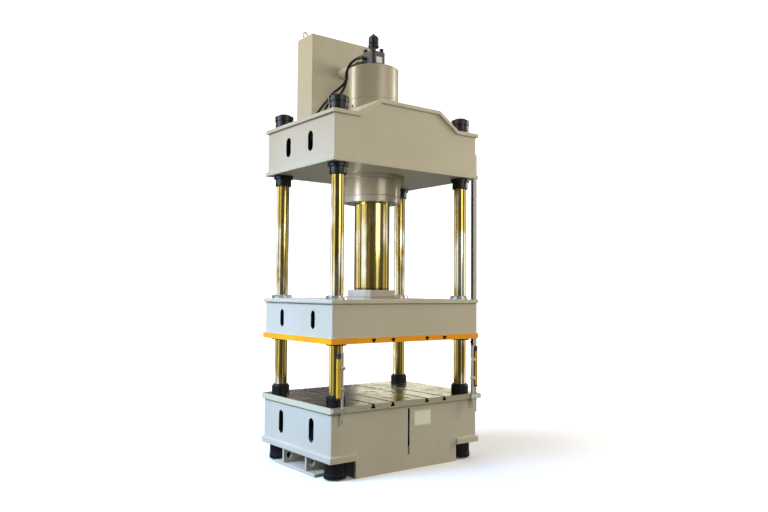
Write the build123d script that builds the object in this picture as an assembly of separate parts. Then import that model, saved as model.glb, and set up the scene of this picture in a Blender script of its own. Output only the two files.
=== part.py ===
from build123d import *
from math import acos, atan2, cos, degrees, pi, radians, sin, tan
import os

os.makedirs("parts", exist_ok=True)

# Four-column hydraulic press. Millimetres, X to the right along the front, Y to the rear, Z up.
# The origin is on the floor, under the axis of the main cylinder.

# Fits that meeting pieces share
fit_gap = 0.2  # radial gap of pieces that stay together
run_gap = 0.3  # radial gap of pieces that slide
overrun = 5.0  # how far a cut runs past the face it opens

# Plate outline shared by the crown, the slide and the bed
plate_width = 1900.0
plate_depth = 1344.0
wall_inset = 22.0
wall_thick = 25.0
half_width = plate_width / 2
half_depth = plate_depth / 2
wall_x = half_width - wall_inset
wall_y = half_depth - wall_inset
inner_x = wall_x - wall_thick
inner_y = wall_y - wall_thick

# Columns and their nuts
column_dia = 130.0
column_edge_x = 145.0
column_edge_y = 139.0
column_x = half_width - column_edge_x
column_y = half_depth - column_edge_y
column_tail = 6.0
column_rise = 18.0
tube_dia = 206.0
foot_nut_dia = 207.0
foot_ring_dia = 217.0
foot_ring_height = 42.0
bed_nut_dia = 185.0
bed_nut_height = 86.0
bed_collar_dia = 158.0
bed_collar_height = 14.0
under_nut_dia = 168.0
under_nut_height = 113.0
under_flange_dia = 205.0
under_flange_height = 34.0
top_nut_dia = 188.0
top_nut_height = 98.0
lock_ring_dia = 200.0
lock_ring_height = 52.0
nut_chamfer = 4.0
nut_slot_width = 22.0
nut_slot_depth = 10.0
nut_slot_height = 26.0
nut_slots = 6
spot_depth = 2.0
spot_margin = 2.0

# Heights from the floor up
foot_lift = 15.0
foot_nut_height = 159.0
bed_flange_thick = 57.0
bed_wall_height = 401.0
table_thick = 60.0
daylight = 586.0
platen_thick = 55.0
slide_wall_height = 328.0
slide_deck_thick = 38.0
column_clear = 2326.0
crown_floor_thick = 39.0
crown_wall_height = 423.0
roof_thick = 36.0
hump_rise = 172.0
flange_low = foot_lift + foot_nut_height
flange_top = flange_low + bed_flange_thick
table_low = flange_top + bed_wall_height
table_top = table_low + table_thick
platen_low = table_top + daylight
platen_top = platen_low + platen_thick
deck_low = platen_top + slide_wall_height
slide_top = deck_low + slide_deck_thick
crown_low = table_top + column_clear
crown_floor_top = crown_low + crown_floor_thick
roof_low = crown_floor_top + crown_wall_height
shoulder_top = roof_low + roof_thick
hump_top = shoulder_top + hump_rise

# Crown roof and the windows in the side walls
shoulder_width = 302.0
slope_run = 258.0
hump_foot_x = half_width - shoulder_width
hump_edge_x = hump_foot_x - slope_run
crown_window_y = 218.0
crown_window_width = 95.0
crown_window_low = 150.0
crown_window_height = 202.0
slide_window_y = 303.0
slide_window_width = 74.0
slide_window_low = 75.0
slide_window_height = 180.0
bed_window_y = 295.0
bed_window_width = 90.0
bed_window_low = 85.0
bed_window_height = 234.0

# Bed: pit, floor plates and ribs
pit_inset = 305.0
sole_inset_x = 10.0
sole_inset_y = 287.0
pit_half_width = half_width - pit_inset
sole_reach_x = half_width - sole_inset_x
sole_half_depth = half_depth - sole_inset_y
sole_thick = 30.0
rib_edge = 165.0
rib_y = sole_half_depth - rib_edge
rib_thick = 26.0
rib_hole_dia = 66.0
rib_hole_inset = 68.0
rib_hole_height = 102.0
anchor_hole_dia = 36.0
anchor_inset = 60.0
anchor_edge = 75.0
anchor_y = sole_half_depth - anchor_edge
indicator_width = 24.0
indicator_low = 145.0
indicator_drop = 24.0
plate_label_x = 180.0
plate_label_drop = 134.0
plate_label_width = 220.0
plate_label_height = 150.0
plate_label_thick = 2.0

# T-slots of the table and the platen
slot_inner_x = 220.0
slot_outer_x = 460.0
throat_width = 28.0
throat_depth = 22.0
tee_width = 50.0
tee_height = 20.0

# Ejector
ejector_hole_dia = 160.0
ejector_dia = 260.0
ejector_low = 120.0
ejector_flange_dia = 360.0
ejector_flange_thick = 28.0
ejector_bore_dia = 200.0
ejector_end = 40.0
ejector_gland = 44.0
ejector_rod_dia = 110.0
ejector_head_dia = 150.0
ejector_head_thick = 36.0
ejector_head_sunk = 3.0
ejector_piston_thick = 62.0
ejector_seat = 10.0
ejector_bolt_circle = 310.0
ejector_bolt_dia = 36.0
ejector_bolt_height = 22.0
ejector_bolts = 8

# Main cylinder
bore_dia = 420.0
cylinder_dia = 520.0
body_dia = 612.0
collar_dia = 705.0
collar_thick = 33.0
body_drop = 187.0
gland_height = 67.0
gland_groove = 5.0
gland_spigot = 102.0
gland_spigot_gap = 0.3
packing_low = 30.0
packing_height = 60.0
packing_thick = 9.0
gland_bolt_circle = 500.0
gland_bolt_dia = 38.0
gland_bolt_head = 20.0
gland_socket = 22.0
gland_socket_depth = 12.0
gland_bolts = 12
lock_nut_dia = 546.0
lock_nut_height = 157.0
lock_nut_holes = 6
lock_nut_hole_dia = 30.0
lock_nut_hole_depth = 12.0
cylinder_top_rise = 302.0
cylinder_end = 70.0
drum_dia = 552.0
drum_height = 360.0
drum_lid = 30.0
drum_round = 10.0

# Rod, piston and the rod's foot on the slide
rod_dia = 381.0
rod_seat_size = 480.0
rod_seat_corner = 48.0
rod_seat_thick = 21.0
rod_flange_size = 400.0
rod_flange_corner = 40.0
rod_flange_thick = 74.0
flange_bolt_spot = 160.0
flange_bolt_dia = 36.0
flange_bolt_height = 30.0
flange_bolt_sunk = 4.0
flange_socket = 22.0
flange_socket_depth = 14.0
piston_rise = 150.0
piston_height = 170.0
piston_gap = 1.0
ring_count = 3
ring_height = 16.0
ring_thick = 10.0
ring_share = 0.2  # of the piston height, from its foot to the first ring and between rings

# Slide guides
bush_dia = 160.0
upper_cover_dia = 210.0
upper_cover_thick = 26.0
wiper_dia = 168.0
wiper_height = 12.0
cover_bolt_circle = 189.0
cover_bolt_dia = 15.0
cover_bolt_height = 9.0
cover_bolts = 6
lower_cover_dia = 200.0
lower_cover_thick = 18.0
thrust_tube_dia = 560.0

# Filling tank, its pipe and the valve on the drum
tank_half_width = 430.0
tank_front_y = 585.0
tank_depth = 320.0
tank_height = 937.0
tank_sheet = 6.0
bearer_inset = 85.0
bearer_x = tank_half_width - bearer_inset
bearer_width = 60.0
bearer_height = 70.0
bearer_web = 8.0
bearer_front_y = 480.0
eye_inset = 34.0
eye_x = tank_half_width - eye_inset
eye_y = 800.0
eye_ring_radius = 28.0
eye_wire_radius = 9.0
eye_base_dia = 44.0
eye_base_height = 14.0
eye_sink = 5.0
pipe_dia = 138.0
pipe_wall = 6.0
pipe_flange_dia = 172.0
pipe_flange_thick = 18.0
pipe_rise = 98.0
block_size = 180.0
block_height = 195.0
block_chamfer = 3.0
screw_spread = 63.0
screw_dia = 44.0
screw_height = 42.0
screw_socket_dia = 24.0
screw_socket_depth = 16.0
tag_width = 76.0
tag_height = 66.0
tag_thick = 2.0
tag_x = 12.0
tag_drop = 92.0
neck_dia = 54.0
neck_height = 64.0
valve_ring_dia = 116.0
valve_ring_height = 26.0
valve_groove = 8.0
valve_groove_depth = 12.0
knob_dia = 110.0
knob_height = 98.0
knob_foot_in = 8.0
knob_foot_up = 12.0
knob_dome_in = 26.0
knob_dome_up = 24.0
valve_tip_dia = 44.0
valve_tip_height = 24.0
valve_tip_end_dia = 14.0
pilot_width = 30.0
pilot_depth = 24.0
pilot_rise = 8.0
pilot_round = 8.0

# Hoses: both ends sit in round fittings. A port on the block is so far to the rear and so far over the lid,
# a fitting on the crown is so far out from the hump's foot and so far to the rear.
# Each route is the distance out from the drum's wall, the angle round from the left and the rise over it.
hose_dia = 30.0
fitting_dia = 36.0
block_stub = 60.0
crown_stub = 34.0
fitting_ball_dia = 44.0
hose_start_gap = 0.5
bend_share = 0.45  # of the shorter run at a bend, used up by its arc
hose_a_port = (45.0, 70.0)
hose_b_port = (20.0, 125.0)
hose_a_crown = (20.0, 225.0)
hose_b_crown = (52.0, 120.0)
hose_a_via = [
    (-17.0, 53.8, 82.0),
    (62.1, 72.3, 12.0),
    (148.7, 72.5, -99.0),
    (231.1, 60.2, -206.0),
    (231.0, 44.6, -318.0),
    (297.3, 18.7, -444.0),
]
hose_b_via = [
    (-55.8, 50.5, 147.0),
    (85.2, 68.05, 62.0),
    (164.7, 82.57, -66.0),
    (238.5, 75.0, -224.0),
    (251.6, 45.9, -368.0),
    (261.8, 22.2, -508.0),
]

# Light curtains, one on each side of the front
guard_rod_inset = 110.0
guard_rod_x = half_width - guard_rod_inset
guard_rod_dia = 25.0
guard_rod_drop = 154.0
guard_rod_rise = 514.0
guard_rod_out = 24.0
guard_bar_width = 36.0
guard_bar_depth = 34.0
guard_bar_rise = 76.0
guard_bar_length = 432.0
guard_bar_gap = 12.0
guard_bar_round = 4.0
window_width = 20.0
window_depth = 2.0
window_margin = 30.0
clamp_shares = (0.215, 0.671)  # of the bar's length
clamp_width = 44.0
clamp_depth = 30.0
clamp_height = 30.0
clamp_knob_dia = 24.0
clamp_knob_length = 22.0
bracket_reach = 28.0
bracket_depth = 42.0
bracket_height = 44.0
bracket_drop = 4.0

# Switch post on the right
post_clear = 25.0
post_width = 50.0
post_depth = 40.0
post_wall = 5.0
post_setback = 102.0
post_drop = 162.0
post_rise = 292.0
post_bracket_height = 60.0
post_bracket_inset = 30.0
post_bracket_depth = 70.0
switch_drop = 78.0
switch_height = 62.0
switch_length = 40.0
switch_clear = 8.0
switch_cap = 12.0

column_hole = column_dia + 2 * fit_gap
guide_bore = column_dia + 2 * run_gap
barrel_hole = cylinder_dia + 2 * fit_gap
bush_hole = bush_dia + 2 * fit_gap
column_spots = [(sx * column_x, sy * column_y) for sy in (-1, 1) for sx in (-1, 1)]


def slab(x, y, z):
    """A block between two values of each coordinate."""
    size = (x[1] - x[0], y[1] - y[0], z[1] - z[0])
    return Pos((x[0] + x[1]) / 2, (y[0] + y[1]) / 2, (z[0] + z[1]) / 2) * Box(*size)


def disc(dia, low, high, spot=(0, 0)):
    """An upright cylinder between two heights."""
    return Pos(spot[0], spot[1], (low + high) / 2) * Cylinder(dia / 2, high - low)


def hole(dia, low, high, spot=(0, 0)):
    """An upright round cut that runs past both heights."""
    return disc(dia, low - overrun, high + overrun, spot)


def ring(outer, inner, low, high):
    """An upright ring between two heights."""
    return disc(outer, low, high) - hole(inner, low, high)


def turned(points):
    """A body turned about the Z axis from radius and height pairs."""
    return revolve(make_face(Polyline([(r, 0, z) for r, z in points], close=True)), Axis.Z)


def spread(count, circle):
    """Spots on a circle round the axis, the first one half a step round from X."""
    step = 2 * pi / count
    angles = [step * i + step / 2 for i in range(count)]
    return [(circle / 2 * cos(a), circle / 2 * sin(a)) for a in angles]


def each_column(shape):
    """One copy of a shape made at the axis for each column."""
    return [Pos(x, y, 0) * shape for x, y in column_spots]


def join(pieces):
    """One body made of overlapping or touching pieces."""
    body = pieces[0]
    for piece in pieces[1:]:
        body = body + piece
    return body


def without(body, cuts):
    """A body less each of the cuts."""
    for cut in cuts:
        body = body - cut
    return body


def save(name, shape):
    """Write one piece, or one group of equal pieces."""
    solids = shape if isinstance(shape, list) else [shape]
    solids = [solid for piece in solids for solid in piece.solids()]
    whole = solids[0] if len(solids) == 1 else Compound(children=solids)
    whole.label = name
    export_step(whole, os.path.join("parts", name + ".step"))


def windows(y, width, low, height):
    """Upright round-ended openings through both side walls."""
    cuts = []
    for start in (-wall_x - overrun, inner_x - overrun):
        for side in (-1, 1):
            outline = Pos(side * y, low + height / 2) * SlotOverall(height, width, rotation=90)
            cuts.append(extrude(Plane.YZ.offset(start) * outline, wall_thick + 2 * overrun))
    return cuts


def tee_slots(face, into):
    """T-slots from front to rear, cut into a plate from one face."""
    cuts = []
    run = (-half_depth - overrun, half_depth + overrun)
    for x in (-slot_outer_x, -slot_inner_x, slot_inner_x, slot_outer_x):
        mouth = sorted((face - into * overrun, face + into * (throat_depth + tee_height)))
        seat = sorted((face + into * throat_depth, face + into * (throat_depth + tee_height)))
        cuts.append(slab((x - throat_width / 2, x + throat_width / 2), run, mouth))
        cuts.append(slab((x - tee_width / 2, x + tee_width / 2), run, seat))
    return cuts


def round_nut(dia, low, high, grips_low, chamfer_top=True):
    """A round nut on a column with grip slots round its side."""
    nut = disc(dia, low, high)
    rim = nut.edges().filter_by(GeomType.CIRCLE).sort_by(Axis.Z)
    nut = chamfer(rim[-1] if chamfer_top else rim[0], nut_chamfer)
    nut = nut - hole(column_hole, low, high)
    grip = slab((dia / 2 - nut_slot_depth, dia / 2 + overrun), (-nut_slot_width / 2, nut_slot_width / 2),
                (grips_low, grips_low + nut_slot_height))
    return without(nut, [Rot(0, 0, 360 / nut_slots * i) * grip for i in range(nut_slots)])


# Bed frame: walls under the table, a flange round the columns, and a pit that stands on the floor
wall_span = (-wall_x, wall_x)
pit_inner = pit_half_width - wall_thick
shell = slab(wall_span, (-wall_y, wall_y), (flange_top, table_low)) - slab(
    (-inner_x, inner_x), (-inner_y, inner_y), (flange_top - overrun, table_low + overrun))
flange = slab((-half_width, half_width), (-half_depth, half_depth), (flange_low, flange_top))
through = (flange_low - overrun, flange_top + overrun)
flange = flange - slab((-pit_inner, pit_inner), (-inner_y, inner_y), through)
notch_x = (-pit_half_width, pit_half_width)
for side in (-1, 1):
    notch_y = sorted((side * wall_y, side * (half_depth + overrun)))
    flange = flange - slab(notch_x, notch_y, through)
pit = slab(notch_x, (-wall_y, wall_y), (0, table_low)) - slab(
    (-pit_inner, pit_inner), (-inner_y, inner_y), (-overrun, table_low + overrun))
base = join([shell, flange, pit])
for side in (-1, 1):
    sole_x = sorted((side * pit_inner, side * sole_reach_x))
    base = base + slab(sole_x, (-sole_half_depth, sole_half_depth), (0, sole_thick))
    for rib in (-rib_y, rib_y):
        rib_x = sorted((side * pit_inner, side * sole_reach_x))
        plate = slab(rib_x, (rib - rib_thick / 2, rib + rib_thick / 2), (0, flange_low))
        eye_at = Pos(side * (sole_reach_x - rib_hole_inset), rib, rib_hole_height)
        base = base + (plate - eye_at * Rot(90, 0, 0) * Cylinder(rib_hole_dia / 2, rib_thick + overrun))
    for end in (-1, 1):
        anchor = (side * (sole_reach_x - anchor_inset), end * anchor_y)
        base = base - hole(anchor_hole_dia, 0, sole_thick, anchor)
base = join([base] + each_column(disc(tube_dia, flange_top, table_low)))
base = without(base, each_column(hole(column_hole, flange_low, table_low)))
window_low = flange_top + bed_window_low
base = without(base, windows(bed_window_y, bed_window_width, window_low, bed_window_height))
base = base - slab((-indicator_width / 2, indicator_width / 2), (-wall_y - overrun, -inner_y + overrun),
                   (indicator_low, table_low - indicator_drop))
save("base_frame", base)

# Table with T-slots, spot faces under the bed nuts and the ejector's hole
table = slab((-half_width, half_width), (-half_depth, half_depth), (table_low, table_top))
table = without(table, tee_slots(table_top, -1))
table = table - hole(ejector_hole_dia, table_low, table_top)
table = without(table, each_column(hole(column_hole, table_low, table_top)))
spot_dia = bed_nut_dia + 2 * spot_margin
table = without(table, each_column(disc(spot_dia, table_top - spot_depth, table_top + overrun)))
save("bed_table", table)

# Rating plate, left blank
label_x = (plate_label_x - plate_label_width / 2, plate_label_x + plate_label_width / 2)
label_mid = table_low - plate_label_drop
label_z = (label_mid - plate_label_height / 2, label_mid + plate_label_height / 2)
save("rating_plate", slab(label_x, (-wall_y - plate_label_thick, -wall_y), label_z))

# Columns, each from its foot nut to the top of its crown nut
column_low = foot_lift + column_tail
column_high = shoulder_top + top_nut_height + lock_ring_height + column_rise
names = ["column_front_left", "column_front_right", "column_rear_left", "column_rear_right"]
for name, spot in zip(names, column_spots):
    column = disc(column_dia, column_low, column_high, spot)
    save(name, chamfer(column.edges().filter_by(GeomType.CIRCLE), column_tail))

# Foot nuts with a wide ring at the floor
foot = disc(foot_nut_dia, foot_lift, flange_low)
foot = foot + disc(foot_ring_dia, foot_lift, foot_lift + foot_ring_height)
foot = foot - hole(column_hole, foot_lift, flange_low)
save("bed_foot_nuts", each_column(foot))

# Bed nuts with a collar on top, in the table's spot faces
seat = table_top - spot_depth
bed_nut_top = seat + bed_nut_height
bed_nut = round_nut(bed_nut_dia, seat, bed_nut_top, seat + nut_slot_height)
collar = ring(bed_collar_dia, column_hole, bed_nut_top, bed_nut_top + bed_collar_height)
save("bed_top_nuts", each_column(bed_nut + collar))

# Nuts under and on the crown, and lock rings on the upper ones
under_low = crown_low - under_nut_height
under_nut = round_nut(under_nut_dia, under_low, crown_low, under_low - overrun, False)
under_nut = under_nut + ring(under_flange_dia, column_hole, crown_low - under_flange_height, crown_low)
save("crown_under_nuts", each_column(under_nut))
top_nut_high = shoulder_top + top_nut_height
top_nut = round_nut(top_nut_dia, shoulder_top, top_nut_high, shoulder_top + nut_slot_height)
save("crown_top_nuts", each_column(top_nut))
lock_ring_high = top_nut_high + lock_ring_height
lock_ring = round_nut(lock_ring_dia, top_nut_high, lock_ring_high, lock_ring_high - nut_slot_height)
save("crown_lock_rings", each_column(lock_ring))

# Crown: floor, four walls and a roof folded into a hump
fold = atan2(hump_rise, hump_foot_x - hump_edge_x)
fold_shift = roof_thick * tan(fold / 2)
outer_line = [(-half_width, shoulder_top), (-hump_foot_x, shoulder_top), (-hump_edge_x, hump_top)]
outer_line = outer_line + [(-x, z) for x, z in reversed(outer_line)]
inner_line = [(-half_width, roof_low), (fold_shift - hump_foot_x, roof_low),
              (fold_shift - hump_edge_x, hump_top - roof_thick)]
inner_line = inner_line + [(-x, z) for x, z in reversed(inner_line)]


def profile(points, front, rear):
    """A body of one outline in X and Z between two depths."""
    outline = make_face(Polyline([(x, front, z) for x, z in points], close=True))
    return extrude(outline, rear - front, dir=(0, 1, 0))


roof = profile(outer_line + list(reversed(inner_line)), -half_depth, half_depth)
gable = [(-wall_x, crown_floor_top), (-wall_x, roof_low)] + inner_line[1:-1]
gable = gable + [(wall_x, roof_low), (wall_x, crown_floor_top)]
floor_plate = slab((-half_width, half_width), (-half_depth, half_depth), (crown_low, crown_floor_top))
crown = join([floor_plate, roof, profile(gable, -wall_y, -inner_y), profile(gable, inner_y, wall_y)])
for side in (-1, 1):
    wall_place = sorted((side * inner_x, side * wall_x))
    crown = crown + slab(wall_place, (-wall_y, wall_y), (crown_floor_top, roof_low))
sleeve_dia = cylinder_dia + 2 * wall_thick
crown = join([crown] + each_column(disc(tube_dia, crown_floor_top, roof_low)))
crown = crown + disc(sleeve_dia, crown_floor_top, hump_top - roof_thick)
crown = crown - hole(barrel_hole, crown_low, hump_top)
crown = without(crown, each_column(hole(column_hole, crown_low, shoulder_top)))
window_low = crown_low + crown_window_low
crown = without(crown, windows(crown_window_y, crown_window_width, window_low, crown_window_height))
save("crown_beam", crown)

# Main cylinder: body and collar below the crown, barrel up through it
collar_low = crown_low - collar_thick
body_low = collar_low - body_drop
cylinder_top = hump_top + cylinder_top_rise
cylinder = disc(body_dia, body_low, collar_low) + disc(collar_dia, collar_low, crown_low)
cylinder = cylinder + disc(cylinder_dia, crown_low, cylinder_top)
cylinder = cylinder - disc(bore_dia, body_low - overrun, cylinder_top - cylinder_end)
save("main_cylinder", cylinder)

# Lock nut on the hump with grip holes
nut_high = hump_top + lock_nut_height
lock_nut = ring(lock_nut_dia, barrel_hole, hump_top, nut_high)
for i in range(lock_nut_holes):
    grip_at = Rot(0, 0, 360 / lock_nut_holes * i) * Pos(lock_nut_dia / 2, 0, hump_top + lock_nut_height / 2)
    lock_nut = lock_nut - grip_at * Rot(0, 90, 0) * Cylinder(lock_nut_hole_dia / 2, 2 * lock_nut_hole_depth)
save("cylinder_lock_nut", lock_nut)

# Drum that caps the cylinder and feeds it with oil
drum_top = nut_high + drum_height
drum = disc(drum_dia, nut_high, drum_top)
drum = fillet(drum.edges().filter_by(GeomType.CIRCLE).sort_by(Axis.Z)[-1], drum_round)
drum = drum - disc(barrel_hole, nut_high - overrun, drum_top - drum_lid)
save("cylinder_head_drum", drum)

# Gland under the cylinder, with its packing and bolts
gland_low = body_low - gland_height
rod_bore = rod_dia + 2 * run_gap
gland = disc(body_dia, gland_low, body_low) - ring(body_dia + overrun, body_dia - 2 * gland_groove,
                                                   body_low - gland_groove, body_low + overrun)
gland = gland + disc(bore_dia - 2 * gland_spigot_gap, body_low, body_low + gland_spigot)
gland = gland - hole(rod_bore, gland_low, body_low + gland_spigot)
pack_low = gland_low + packing_low
pack_dia = rod_bore + 2 * packing_thick
gland = gland - disc(pack_dia, pack_low, pack_low + packing_height)
bolt_spots = spread(gland_bolts, gland_bolt_circle)
bolt_top = gland_low + gland_bolt_head
pocket_dia = gland_bolt_dia + 2 * fit_gap
gland = without(gland, [disc(pocket_dia, gland_low - overrun, bolt_top, spot) for spot in bolt_spots])
save("cylinder_gland", gland)
save("rod_packing", ring(pack_dia - 2 * fit_gap, rod_bore, pack_low, pack_low + packing_height))
key = extrude(RegularPolygon(gland_socket / 2, 6), gland_socket_depth + overrun)
save("gland_bolts", [disc(gland_bolt_dia, gland_low, bolt_top, (x, y)) - Pos(x, y, gland_low - overrun) * key
                     for x, y in bolt_spots])

# Slide box: deck, walls and guide tubes round the columns
deck = slab((-half_width, half_width), (-half_depth, half_depth), (deck_low, slide_top))
frame = slab(wall_span, (-wall_y, wall_y), (platen_top, deck_low)) - slab(
    (-inner_x, inner_x), (-inner_y, inner_y), (platen_top - overrun, deck_low + overrun))
slide = join([deck, frame] + each_column(disc(tube_dia, platen_top, deck_low)))
slide = slide + ring(thrust_tube_dia, thrust_tube_dia - 2 * wall_thick, platen_top, deck_low)
slide = without(slide, each_column(hole(bush_hole, platen_top, slide_top)))
window_low = platen_top + slide_window_low
slide = without(slide, windows(slide_window_y, slide_window_width, window_low, slide_window_height))
save("slide_box", slide)

# Platen with T-slots from below and spot faces for the lower covers
platen = slab((-half_width, half_width), (-half_depth, half_depth), (platen_low, platen_top))
platen = without(platen, tee_slots(platen_low, 1))
platen = without(platen, each_column(hole(bush_hole, platen_low, platen_top)))
cover_spot = lower_cover_dia + 2 * spot_margin
platen = without(platen, each_column(disc(cover_spot, platen_low - overrun, platen_low + spot_depth)))
save("slide_platen", platen)

# Guide bushes between the covers, and the covers
bush_low = platen_low + spot_depth
save("guide_bushes", each_column(ring(bush_dia, guide_bore, bush_low, slide_top)))
cover_top = slide_top + upper_cover_thick
cover = disc(upper_cover_dia, slide_top, cover_top) + disc(wiper_dia, cover_top, cover_top + wiper_height)
cover = cover - hole(guide_bore, slide_top, cover_top + wiper_height)
save("guide_covers_upper", each_column(cover))
screw = [disc(cover_bolt_dia, cover_top, cover_top + cover_bolt_height, spot)
         for spot in spread(cover_bolts, cover_bolt_circle)]
save("cover_bolts_upper", [Pos(x, y, 0) * one for x, y in column_spots for one in screw])
lower_cover = ring(lower_cover_dia, guide_bore, bush_low - lower_cover_thick, bush_low)
save("guide_covers_lower", each_column(lower_cover))

# Rod foot: a square seat and a square flange with cut corners, and bolts sunk in the flange


def square_plate(size, corner, low, high):
    """A square plate round the axis with its upright corners cut off."""
    plate = slab((-size / 2, size / 2), (-size / 2, size / 2), (low, high))
    return chamfer(plate.edges().filter_by(Axis.Z), corner)


seat_top = slide_top + rod_seat_thick
rod_flange_top = seat_top + rod_flange_thick
save("rod_seat", square_plate(rod_seat_size, rod_seat_corner, slide_top, seat_top))
rod_flange = square_plate(rod_flange_size, rod_flange_corner, seat_top, rod_flange_top)
rod_flange = rod_flange - hole(rod_dia + 2 * fit_gap, seat_top, rod_flange_top)
head_high = rod_flange_top - flange_bolt_sunk
head_low = head_high - flange_bolt_height
bolts = []
for sx in (-1, 1):
    for sy in (-1, 1):
        spot = (sx * flange_bolt_spot, sy * flange_bolt_spot)
        rod_flange = rod_flange - disc(flange_bolt_dia + 2 * fit_gap, head_low,
                                       rod_flange_top + overrun, spot)
        key = extrude(RegularPolygon(flange_socket / 2, 6), flange_socket_depth + overrun)
        bolts.append(disc(flange_bolt_dia, head_low, head_high, spot)
                     - Pos(spot[0], spot[1], head_high - flange_socket_depth) * key)
save("rod_flange", rod_flange)
save("rod_flange_bolts", bolts)

# Rod and piston with its rings
piston_low = body_low + gland_spigot + piston_rise
save("piston_rod", disc(rod_dia, seat_top, piston_low))
piston_high = piston_low + piston_height
ring_lows = [piston_low + piston_height * ring_share * (i + 1) for i in range(ring_count)]
ring_outer = bore_dia - 2 * run_gap
ring_inner = ring_outer - 2 * ring_thick
piston = disc(bore_dia - 2 * piston_gap, piston_low, piston_high)
groove_dia = ring_inner - 2 * fit_gap
for low in ring_lows:
    piston = piston - (disc(bore_dia, low, low + ring_height) - hole(groove_dia, low, low + ring_height))
save("piston", piston)
save("piston_rings", [ring(ring_outer, ring_inner, low, low + ring_height) for low in ring_lows])

# Ejector under the table
ejector_flange_low = table_low - ejector_flange_thick
ejector = disc(ejector_dia, ejector_low, table_low)
ejector = ejector + disc(ejector_flange_dia, ejector_flange_low, table_low)
bore_low = ejector_low + ejector_end
ejector = ejector - disc(ejector_bore_dia, bore_low, table_low - ejector_gland)
ejector = ejector - disc(ejector_rod_dia + 2 * run_gap, bore_low, table_low + overrun)
save("ejector_cylinder", ejector)
bolt_low = ejector_flange_low - ejector_bolt_height
save("ejector_bolts", [disc(ejector_bolt_dia, bolt_low, ejector_flange_low, spot)
                       for spot in spread(ejector_bolts, ejector_bolt_circle)])
head_top = table_top - ejector_head_sunk
ram_low = bore_low + ejector_seat
ram = disc(ejector_rod_dia, ram_low, head_top)
ram = ram + disc(ejector_head_dia, head_top - ejector_head_thick, head_top)
ram = ram + disc(ejector_bore_dia - 2 * run_gap, ram_low, ram_low + ejector_piston_thick)
save("ejector_rod", ram)

# Filling tank on two bearers at the rear of the crown
bearer_top = hump_top + bearer_height
tank_rear_y = tank_front_y + tank_depth
tank_top = bearer_top + tank_height
tank_x = (-tank_half_width, tank_half_width)
tank = slab(tank_x, (tank_front_y, tank_rear_y), (bearer_top, tank_top)) - slab(
    (-tank_half_width + tank_sheet, tank_half_width - tank_sheet),
    (tank_front_y + tank_sheet, tank_rear_y - tank_sheet), (bearer_top + tank_sheet, tank_top - tank_sheet))
save("filling_tank", tank)
bearers = []
for side in (-1, 1):
    web_x = sorted((side * bearer_x, side * (bearer_x - bearer_width)))
    hollow_x = sorted((side * (bearer_x - bearer_web), side * (bearer_x - bearer_width - overrun)))
    channel = slab(web_x, (bearer_front_y, tank_rear_y), (hump_top, bearer_top))
    bearers.append(channel - slab(hollow_x, (bearer_front_y - overrun, tank_rear_y + overrun),
                                  (hump_top + bearer_web, bearer_top - bearer_web)))
save("tank_bearers", bearers)
eyes = []
for side in (-1, 1):
    centre = tank_top + eye_base_height + eye_ring_radius + eye_wire_radius - eye_sink
    loop = Pos(side * eye_x, eye_y, centre) * Rot(90, 0, 0) * Torus(eye_ring_radius, eye_wire_radius)
    eyes.append(loop + disc(eye_base_dia, tank_top, tank_top + eye_base_height, (side * eye_x, eye_y)))
save("tank_eyes", eyes)

# Valve block on the drum, its screws, blank tag and the valve above it
block_top = drum_top + block_height
half_block = block_size / 2
block = slab((-half_block, half_block), (-half_block, half_block), (drum_top, block_top))
save("valve_block", chamfer(block.edges().filter_by(Axis.Z), block_chamfer))
screws = []
for sx in (-1, 1):
    for sy in (-1, 1):
        spot = (sx * screw_spread, sy * screw_spread)
        head = disc(screw_dia, block_top, block_top + screw_height, spot)
        screws.append(head - disc(screw_socket_dia, block_top + screw_height - screw_socket_depth,
                                  block_top + screw_height + overrun, spot))
save("block_screws", screws)
tag_z = block_top - tag_drop
tag_span = (tag_x - tag_width / 2, tag_x + tag_width / 2)
tag_rows = (tag_z - tag_height / 2, tag_z + tag_height / 2)
save("block_tag", slab(tag_span, (-half_block - tag_thick, -half_block), tag_rows))
neck_top = block_top + neck_height
ring_top = neck_top + valve_ring_height
knob_low = ring_top + valve_groove
knob_top = knob_low + knob_height
tip_top = knob_top + valve_tip_height
valve = turned([
    (0, block_top),
    (neck_dia / 2, block_top),
    (neck_dia / 2, neck_top),
    (valve_ring_dia / 2, neck_top),
    (valve_ring_dia / 2, ring_top),
    (valve_ring_dia / 2 - valve_groove_depth, ring_top),
    (valve_ring_dia / 2 - valve_groove_depth, knob_low),
    (knob_dia / 2 - knob_foot_in, knob_low),
    (knob_dia / 2, knob_low + knob_foot_up),
    (knob_dia / 2, knob_top - knob_dome_up),
    (knob_dia / 2 - knob_dome_in, knob_top),
    (valve_tip_dia / 2, knob_top),
    (valve_tip_end_dia / 2, tip_top),
    (0, tip_top),
])
save("pressure_valve", valve)

# Pilot valve on the front of the block, at its left edge
pilot = slab((-half_block, pilot_width - half_block), (-half_block - pilot_depth, -half_block),
             (drum_top, block_top + pilot_rise))
save("pilot_valve", fillet(pilot.edges().filter_by(Axis.Z).sort_by(Axis.Y)[:2], pilot_round))

# Filling pipe from the tank to the block
pipe_z = drum_top + pipe_rise
pipe_run = tank_front_y - half_block
pipe = Pos(0, half_block + pipe_run / 2, pipe_z) * Rot(90, 0, 0) * Cylinder(pipe_dia / 2, pipe_run)
lip = Pos(0, half_block + pipe_flange_thick / 2, pipe_z) * Rot(90, 0, 0) * Cylinder(
    pipe_flange_dia / 2, pipe_flange_thick)
pipe = pipe + lip - Pos(0, half_block + pipe_run / 2, pipe_z) * Rot(90, 0, 0) * Cylinder(
    pipe_dia / 2 - pipe_wall, pipe_run + overrun)
save("filling_pipe", pipe)

# Hose fittings: stubs with round ends on the block and on the crown's left shoulder
ball = fitting_ball_dia / 2


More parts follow.
